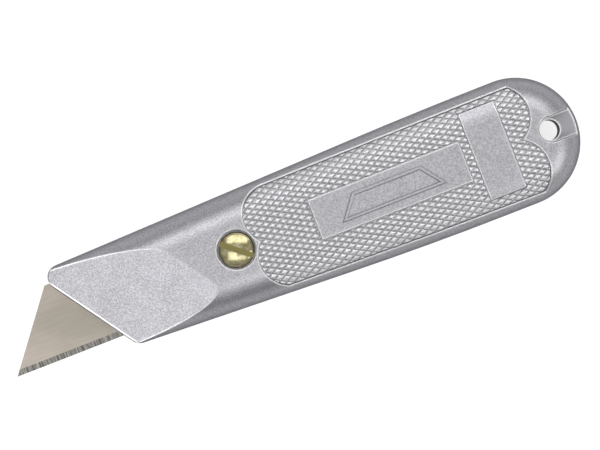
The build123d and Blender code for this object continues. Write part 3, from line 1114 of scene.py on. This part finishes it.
@dataclass
class ClampScrew:
    """The slotted cheese-head screw, with its real M5 thread."""

    datum: Datum
    radius: float = 2.5
    pitch: float = 0.8
    thread_depth: float = 0.49
    tip_z: float = -6.6
    thread_top_z: float = 4.6
    head_radius: float = 4.45
    head_seat_z: float = 6.57
    head_side: float = 1.48
    head_dome: float = 1.3
    edge_round: float = 0.22
    slot_width: float = 1.35
    slot_depth: float = 1.4
    slot_angle: float = -40.0
    around: int = 64
    dome_steps: int = 12
    round_steps: int = 4
    seat_chamfer: float = 0.15
    neck_chamfer: float = 0.12
    neck_end: float = 0.3  # above the thread's top
    rows: int = 8  # of points, to a pitch
    flank_slope: float = 1.3  # steeper than 1, which leaves a flat crest and a flat root
    crest: float = 0.15
    tip_chamfer: float = 0.55
    cutter_length: float = 12.0

    def build(self, brass: bpy.types.Material) -> bpy.types.Object:
        """Make the screw and put it in the CAD screw's place.

        Args:
            brass: the screw's finish.

        Returns:
            The screw.
        """
        screw = new_piece("brass_clamp_screw", self.body(), brass)
        cut_with(screw, new_piece("slot", self.slot(), brass), "DIFFERENCE")
        shade_by_angle(screw, 28)
        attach(screw, "screw")
        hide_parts("clamp_screw")
        return screw

    @property
    def top(self) -> float:
        """Height of the dome's crown above the parting plane."""
        return self.head_seat_z + self.head_side + self.head_dome

    @property
    def slot_floor(self) -> float:
        """Height of the slot's floor above the parting plane, in metres."""
        return (self.top - self.slot_depth) * MM

    def head_profile(self) -> list[Plan]:
        """Draw the head from the crown of its dome down to the neck.

        Returns:
            Radius and height of each ring.
        """
        ball = (self.head_radius**2 + self.head_dome**2) / (2 * self.head_dome)
        brim = self.head_radius - self.edge_round
        points = []
        for k in range(1, self.dome_steps + 1):
            r = brim * k / self.dome_steps
            points.append((r, self.top - ball + math.sqrt(ball**2 - r**2)))
        side_top = points[-1][1] - self.edge_round
        for k in range(1, self.round_steps + 1):
            turn = math.radians(90 * k / self.round_steps)
            out, up = self.edge_round * math.sin(turn), self.edge_round * math.cos(turn)
            points.append((brim + out, side_top + up))
        points.append((self.head_radius, self.head_seat_z + self.seat_chamfer))
        points.append((self.head_radius - self.seat_chamfer, self.head_seat_z))
        points.append((self.radius + self.neck_chamfer, self.head_seat_z))
        points.append((self.radius, self.head_seat_z - self.neck_chamfer))
        points.append((self.radius, self.thread_top_z + self.neck_end))
        return points

    def body(self) -> bmesh.types.BMesh:
        """Revolve the head, then wind the thread down the shank.

        Returns:
            The closed screw, without its slot.
        """
        mesh = bmesh.new()
        profile = self.head_profile()
        crown = mesh.verts.new(self.datum.at(0, 0, self.top))
        rings = [self.ring(mesh, lambda turn, r=r, z=z: (r, z)) for r, z in profile]
        rows = int((self.thread_top_z - self.tip_z) / self.pitch * self.rows)
        for row in range(rows + self.rows + 1):
            rings.append(self.ring(mesh, lambda turn, row=row: self.thread_point(turn, row)))
        foot = mesh.verts.new(self.datum.at(0, 0, self.tip_z))
        for k in range(self.around):
            mesh.faces.new((crown, rings[0][k - 1], rings[0][k]))
            mesh.faces.new((foot, rings[-1][k], rings[-1][k - 1]))
        for upper, lower in zip(rings, rings[1:]):
            for k in range(self.around):
                mesh.faces.new((upper[k - 1], upper[k], lower[k], lower[k - 1]))
        bmesh.ops.remove_doubles(mesh, verts=mesh.verts, dist=0.002 * MM)
        return mesh

    def ring(self, mesh: bmesh.types.BMesh, place: Callable[[float], Plan]) -> list[bmesh.types.BMVert]:
        """Add a ring of points about the screw's axis.

        Args:
            mesh: the mesh to add to.
            place: gives radius and height for a share of a turn.

        Returns:
            The ring's vertices.
        """
        verts = []
        for k in range(self.around):
            r, z = place(k / self.around)
            angle = math.tau * k / self.around
            verts.append(mesh.verts.new(self.datum.at(r * math.cos(angle), r * math.sin(angle), z)))
        return verts

    def thread_point(self, turn: float, row: int) -> Plan:
        """Find a point of the thread, whose rows climb by one pitch in a turn.

        Args:
            turn: share of a turn about the axis.
            row: rows down from the top.

        Returns:
            Radius and height.
        """
        free = self.thread_top_z - (row / self.rows - turn) * self.pitch
        z = min(max(free, self.tip_z), self.thread_top_z)
        half = self.rows // 2
        flank = abs(row % self.rows - half) / half
        groove = self.thread_depth * min(max(self.flank_slope * flank - self.crest, 0.0), 1.0)
        fade_in = min((self.thread_top_z - z) / self.pitch, 1.0)
        lead = max(self.tip_chamfer - (z - self.tip_z), 0.0)
        return self.radius - max(groove * fade_in, lead), z

    def slot(self) -> bmesh.types.BMesh:
        """Make the block that mills the driver slot.

        Returns:
            The block.
        """
        mesh = bmesh.new()
        size = Vector((self.cutter_length, self.slot_width, 2 * self.slot_depth)) * MM
        place = Matrix.Translation(self.datum.at(0, 0, self.top)) @ Matrix.Rotation(
            math.radians(self.slot_angle), 4, "Z"
        )
        bmesh.ops.create_cube(mesh, size=1.0, matrix=place @ Matrix.Diagonal((*size, 1.0)))
        return mesh


# ------------------------------------------------------------------ the blades


@dataclass
class Blades:
    """The working blade and the spares, as ground from hardened strip."""

    finish: str = "hardened_ground_steel"
    colour: str = "A29B94"
    roughness: float = 0.3

    def build(self) -> list[bpy.types.Object]:
        """Dress every blade, with its grinding marks along its own edge.

        Returns:
            The blades.
        """
        blades = [node for name, node in frame["nodes"].items() if "blade" in name]
        for blade in blades:
            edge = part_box(blade.name)[0].y
            steel = GroundSteel(self.finish, self.colour, 1.0, self.roughness, edge_y=edge)
            dress(blade, steel.material())
        return blades


# ------------------------------------------------------------------ studio


@dataclass(frozen=True)
class Softbox:
    """A soft light: its place from the knife, to the right, up the view and above, in metres."""

    name: str
    place: tuple[float, float, float]
    size: Plan
    radiance: float


@dataclass
class Studio:
    """Plain pale floor, softboxes and a camera straight above."""

    datum: Datum
    floor_gap_mm: float = 0.02
    floor_half: float = 1.5
    clip_start: float = 0.05
    view_width: float = 151.1
    view_centre: Plan = (17.0, 0.0)
    roll: float = 21.3
    lens: float = 200.0
    sensor: float = 36.0
    room_light: float = 0.85
    flag_share: float = 0.05
    flag_edges: Plan = (0.66, 1.0)
    wall_edges: Plan = (0.15, 0.5)
    wall_share: float = 0.45
    softboxes: tuple[Softbox, ...] = (
        Softbox("spine_softbox", (0.0, 0.6, 0.75), (1.3, 0.5), 2.6),
        Softbox("nose_softbox", (-0.24, -0.36, 0.8), (0.46, 0.4), 2.9),
        Softbox("belly_softbox", (0.2, -0.42, 0.75), (0.5, 0.24), 1.8),
        Softbox("overhead_softbox", (0.0, 0.0, 1.3), (0.9, 0.9), 0.3),
        Softbox("tail_softbox", (0.75, -0.28, 0.55), (0.3, 0.45), 4.6),
    )

    def build(self) -> None:
        """Set the floor, the lights and the camera."""
        self.floor()
        self.lights()
        self.camera()
        scene = bpy.context.scene
        scene.view_settings.view_transform = "Standard"

    def floor(self) -> None:
        """Lay a plain white floor under the knife."""
        mesh = bmesh.new()
        bmesh.ops.create_grid(mesh, x_segments=1, y_segments=1, size=self.floor_half)
        acrylic = LitAcrylic("opal_acrylic_light_table", "8C8C8C", 0.0, 0.9)
        floor = new_piece("floor", mesh, acrylic.material())
        floor.location.z = -self.floor_gap_mm * MM

    def lights(self) -> None:
        """Fill the room with even light, and hang the softboxes in it."""
        world = bpy.data.worlds.new("studio")
        world.use_nodes = True
        tree = world.node_tree
        belly = Matrix.Rotation(math.radians(-self.roll), 3, "Z") @ Vector((0, -1, 0))
        way = add_node(tree, "ShaderNodeTexCoord", {}).outputs["Generated"]
        side = add_node(
            tree, "ShaderNodeVectorMath", {"operation": "DOT_PRODUCT", 1: belly}, i0=way
        )
        levels = (self.room_light, self.room_light * self.flag_share)
        flagged = spread(tree, side.outputs["Value"], self.flag_edges, levels, "SMOOTHSTEP")
        height = add_node(tree, "ShaderNodeSeparateXYZ", {}, Vector=way)
        shares = (self.wall_share, 1.0)
        walls = spread(tree, height.outputs["Z"], self.wall_edges, shares, "SMOOTHSTEP")
        strength = add_node(
            tree,
            "ShaderNodeMath",
            {"operation": "MULTIPLY"},
            i0=flagged,
            i1=walls,
        )
        tree.links.new(strength.outputs[0], tree.nodes["Background"].inputs["Strength"])
        tree.nodes["Background"].inputs["Color"].default_value = linear("FFFFFF")
        bpy.context.scene.world = world
        for box in self.softboxes:
            self.hang(box)

    def hang(self, box: Softbox) -> None:
        """Hang one softbox, aimed at the knife.

        Args:
            box: its place, size and brightness.
        """
        light = bpy.data.lights.new(box.name, "AREA")
        light.shape = "RECTANGLE"
        light.size, light.size_y = box.size
        light.energy = math.pi * box.size[0] * box.size[1] * box.radiance
        lamp = bpy.data.objects.new(box.name, light)
        turn = Matrix.Rotation(math.radians(-self.roll), 3, "Z")
        target = self.datum.at(*self.view_centre, 0)
        lamp.location = target + turn @ Vector(box.place)
        aim = (lamp.location - target).normalized()
        along = (turn @ Vector((1, 0, 0)) - aim * aim.dot(turn @ Vector((1, 0, 0)))).normalized()
        lamp.rotation_euler = Matrix((along, aim.cross(along), aim)).transposed().to_euler()
        bpy.context.scene.collection.objects.link(lamp)

    def camera(self) -> None:
        """Look straight down, turned so that the knife points up to the right."""
        data = bpy.data.cameras.new("view")
        data.lens, data.sensor_width = self.lens, self.sensor
        data.clip_start = self.clip_start
        camera = bpy.data.objects.new("view", data)
        height = self.view_width * self.lens / self.sensor
        camera.location = self.datum.at(*self.view_centre, height)
        camera.rotation_euler = (0.0, 0.0, math.radians(-self.roll))
        bpy.context.scene.collection.objects.link(camera)
        bpy.context.scene.camera = camera


# ------------------------------------------------------------------ main


def report(pieces: Iterable[bpy.types.Object]) -> None:
    """Log each piece with its number of faces."""
    for piece in pieces:
        LOG.info("%s: %d faces", piece.name, len(piece.data.polygons))


def main() -> None:
    """Dress and build the knife, then set the studio."""
    logging.basicConfig(level=logging.INFO, format="%(name)s %(message)s")
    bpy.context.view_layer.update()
    datum = Datum.from_frame()
    facet = NoseFacet()
    lacquer = LacqueredZinc(
        "silver_lacquered_zinc_casting",
        "9A999D",
        0.9,
        0.42,
        origin=datum.origin,
        nose_normal=facet.normal(),
        nose_level=(facet.point(datum) - datum.origin).dot(facet.normal()),
        nose_back=facet.behind(),
        nose_edge_level=(facet.point(datum) - datum.origin).dot(facet.behind()),
    )
    zinc = lacquer.material()
    # the knurl is painted lighter than the casting, partly as polish from handling and partly as painted
    # highlight
    grip = replace(lacquer, name="zinc_knurl_polish_and_painted_highlight", colour="C6C5C8", highlight_and_wear=0.0).material()
    relief = replace(lacquer, name="silver_lacquered_zinc_relief", highlight_and_wear=0.0).material()
    for side in Side:
        report(HalfShell(side, datum).build(zinc, grip, relief))
    screw = ClampScrew(datum)
    brass = TurnedBrass(
        "turned_brass", "A8A282", 1.0, 0.14, axis=datum.origin, slot_floor=screw.slot_floor
    ).material()
    report([screw.build(brass)])
    report(Blades().build())
    Studio(datum).build()


if __name__ == "__main__":
    main()
